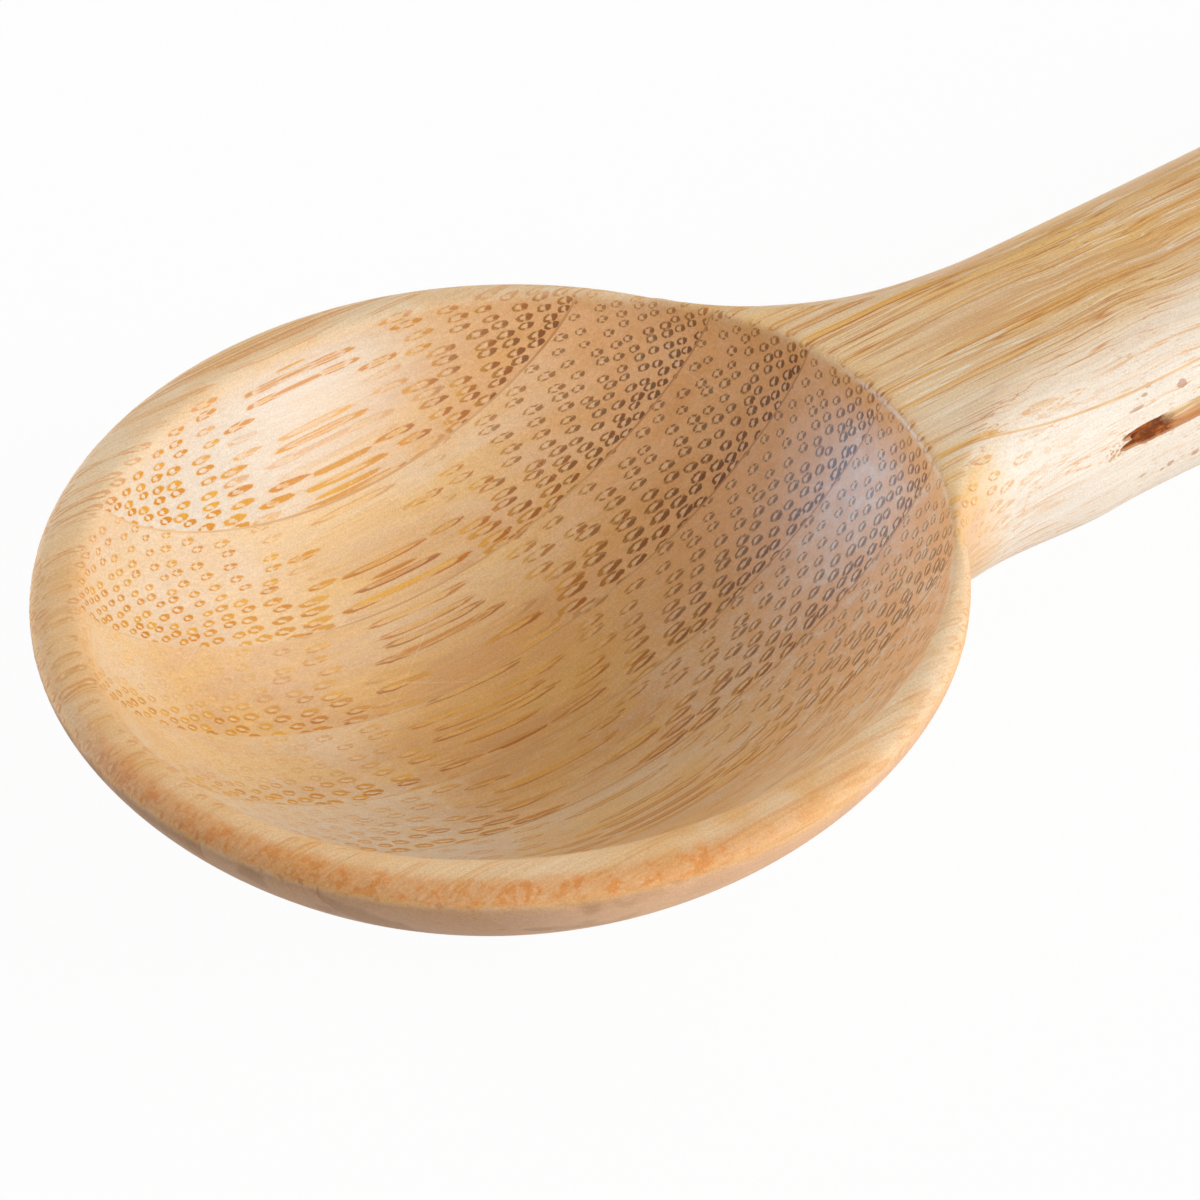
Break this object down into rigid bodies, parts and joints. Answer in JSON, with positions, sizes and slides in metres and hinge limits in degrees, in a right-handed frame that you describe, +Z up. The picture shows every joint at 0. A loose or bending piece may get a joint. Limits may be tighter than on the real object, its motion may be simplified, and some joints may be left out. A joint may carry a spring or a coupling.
{
  "type": "coffee scoop",
  "caption": "Coffee scoop carved from laminated bamboo: a shallow oval bowl with a thin rim and a thick, flush handle that swells toward its end.",
  "frame": {"origin": "on the flat foot, straight below the middle of the hollow", "axes": "+X along the grain from the bowl to the handle's end, +Y to the far side across the strips, +Z up out of the bowl"},
  "size_m": [0.1503, 0.058, 0.019],
  "materials": {
    "bamboo": "sanded and lightly oiled, satin",
    "glue_film": "cured adhesive, flush with the wood"
  },
  "bodies": {
    "root": {"bamboo_strip_1": "bamboo", "bamboo_strip_2": "bamboo", "bamboo_strip_3": "bamboo", "bamboo_strip_4": "bamboo", "bamboo_strip_5": "bamboo", "bamboo_strip_6": "bamboo", "bamboo_strip_7": "bamboo", "bamboo_strip_8": "bamboo", "bamboo_strip_9": "bamboo", "glue_line_1_2": "glue_film", "glue_line_2_3": "glue_film", "glue_line_3_4": "glue_film", "glue_line_4_5": "glue_film", "glue_line_5_6": "glue_film", "glue_line_6_7": "glue_film", "glue_line_7_8": "glue_film", "glue_line_8_9": "glue_film"}
  },
  "joints": []
}
